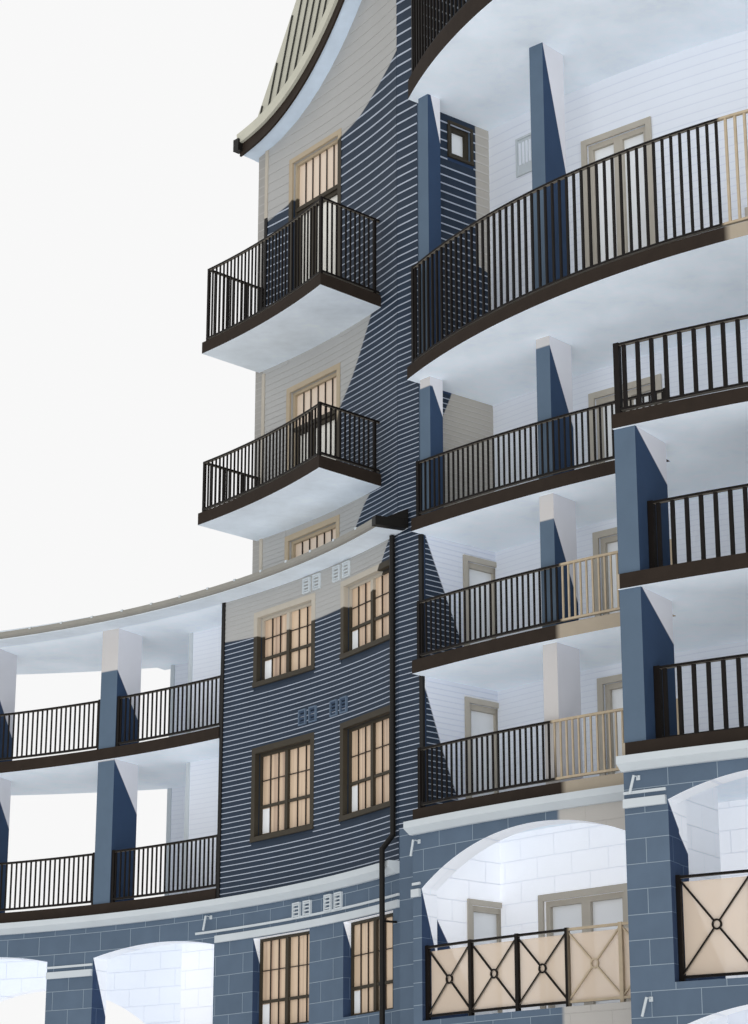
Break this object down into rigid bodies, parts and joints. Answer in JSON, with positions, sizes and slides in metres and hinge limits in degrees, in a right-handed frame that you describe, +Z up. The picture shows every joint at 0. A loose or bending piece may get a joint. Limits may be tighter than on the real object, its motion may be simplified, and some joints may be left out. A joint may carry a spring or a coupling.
{
  "type": "apartment block",
  "caption": "Curved apartment block with a hollow-fronted wing and tower beside a bow of open loggias, on an arched blockwork podium.",
  "frame": {"origin": "on the ground under the wall in which the two curved fronts meet", "axes": "+Z up; the front faces -Y, with the wing to the left, towards -X, and the loggias to the right, towards +X"},
  "size_m": [27.865, 27.8225, 33.2],
  "materials": {
    "blockwork": "smooth concrete blocks with pale joints",
    "white_wall": "white lap boards in the loggias",
    "white_trim": "smooth white trim and soffits",
    "floor_slab": "plain concrete floor",
    "lap_siding": "dark slate lap siding",
    "railing_metal": "near-black painted metal",
    "deck_fascia": "dark brown deck edge under which the soffit is white",
    "column_render": "smooth grey-blue columns",
    "roof_metal": "pale standing-seam metal",
    "gutter_metal": "pale metal gutter",
    "downpipe_metal": "black painted pipe",
    "window_glass": "glass with peach-tan curtains behind",
    "door_glass": "bright glass doors and windows"
  },
  "bodies": {
    "root": {"podium_wall_wing": "blockwork", "podium_wall_gallery": "blockwork", "podium_wall_loggia": "blockwork", "podium_wall_bay": "blockwork", "podium_inner_wall": "white_wall", "podium_back_wall": "blockwork", "podium_cornice": "white_trim", "string_course": "white_trim", "ground_floor": "floor_slab", "podium_floor": "floor_slab", "wing_wall": "lap_siding", "wing_back_wall": "lap_siding", "wing_floors": "floor_slab", "gallery_back_wall": "white_wall", "gallery_deck_lower": "deck_fascia", "gallery_deck_upper": "deck_fascia", "gallery_columns": "column_render", "gallery_rail_lower": "railing_metal", "gallery_rail_upper": "railing_metal", "wing_eave": "white_trim", "wing_gutter": "gutter_metal", "wing_roof": "roof_metal", "tower_wall": "lap_siding", "tower_side_wall": "lap_siding", "tower_back_wall": "lap_siding", "tower_floors": "floor_slab", "balcony_deck_lower": "deck_fascia", "balcony_deck_upper": "deck_fascia", "balcony_rail_lower": "railing_metal", "balcony_rail_upper": "railing_metal", "tower_eave": "white_trim", "tower_roof": "roof_metal", "corner_wall": "lap_siding", "loggia_back_wall": "white_wall", "party_wall": "white_wall", "loggia_house_back": "lap_siding", "loggia_deck_1": "deck_fascia", "loggia_deck_2": "deck_fascia", "loggia_deck_3": "deck_fascia", "loggia_deck_4": "deck_fascia", "loggia_deck_5": "deck_fascia", "loggia_columns": "column_render", "loggia_rail_1": "railing_metal", "loggia_rail_2": "railing_metal", "loggia_rail_3": "railing_metal", "loggia_rail_4": "railing_metal", "loggia_rail_5": "railing_metal", "bay_columns": "column_render", "bay_rail_1": "railing_metal", "bay_rail_2": "railing_metal", "bay_rail_3": "railing_metal", "arch_rail_loggia": "railing_metal", "arch_rail_bay": "railing_metal", "loggia_roof": "roof_metal", "downpipe": "downpipe_metal", "wing_glass": "window_glass", "tower_glass": "window_glass", "loggia_doors": "door_glass"}
  },
  "joints": []
}
